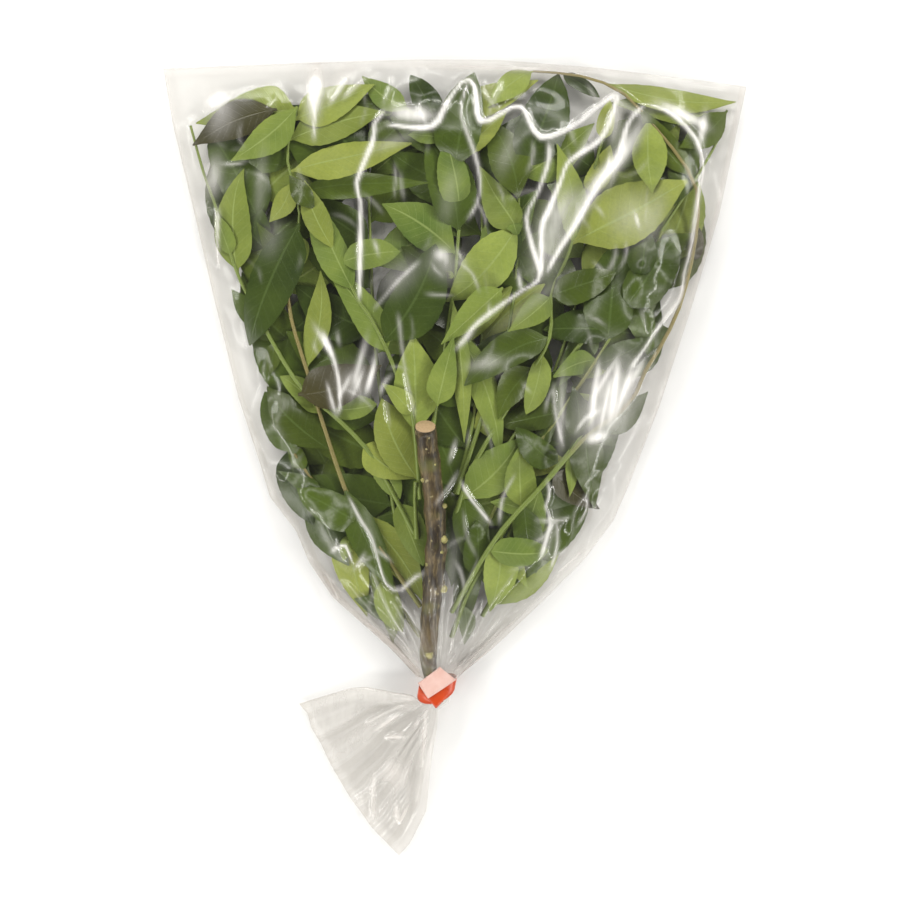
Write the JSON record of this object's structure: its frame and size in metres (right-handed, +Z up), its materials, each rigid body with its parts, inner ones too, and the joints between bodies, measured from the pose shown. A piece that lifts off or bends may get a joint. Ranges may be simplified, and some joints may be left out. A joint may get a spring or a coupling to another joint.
{
  "type": "curry leaf sprig",
  "caption": "Fresh curry leaf sprigs, a woody stem with pinnate leaves, lying flat in a clear film bag closed at its neck with red tape.",
  "frame": {"origin": "middle of the bounding box in X and Y, on the surface that the bag lies on", "axes": "+Y along the bag towards its sealed end, +Z up, away from the surface"},
  "size_m": [0.2237, 0.3068, 0.0283],
  "materials": {
    "leaf": "leaf, matt light underside and glossy dark upper side",
    "light": "matt underside of a leaflet",
    "dark": "glossy upper side of a leaflet",
    "brown": "withered leaflet, dull gloss",
    "stalk": "green stalk, satin",
    "bark": "dark bark, satin",
    "film": "thin clear plastic film, glossy",
    "tape": "red adhesive tape, glossy"
  },
  "bodies": {
    "root": {"compound_leaf_01": "leaf", "compound_leaf_02": "leaf", "compound_leaf_03": "leaf", "compound_leaf_04": "leaf", "compound_leaf_05": "leaf", "compound_leaf_06": "leaf", "compound_leaf_07": "leaf", "compound_leaf_08": "leaf", "compound_leaf_09": "leaf", "compound_leaf_10": "leaf", "compound_leaf_11": "leaf", "compound_leaf_12": "leaf", "compound_leaf_13": "leaf", "compound_leaf_14": "leaf", "compound_leaf_15": "leaf", "compound_leaf_16": "leaf", "leaflet_dark_left": "dark", "leaflet_brown_left": "brown", "leaflet_brown_corner": "brown", "leaflet_light_corner": "light", "leaflet_light_middle": "light", "leaflet_light_stem": "light", "leaflet_corner_right": "dark", "loose_stalk": "stalk", "main_stem": "bark", "film_bag": "film", "neck_tape": "tape"}
  },
  "joints": []
}
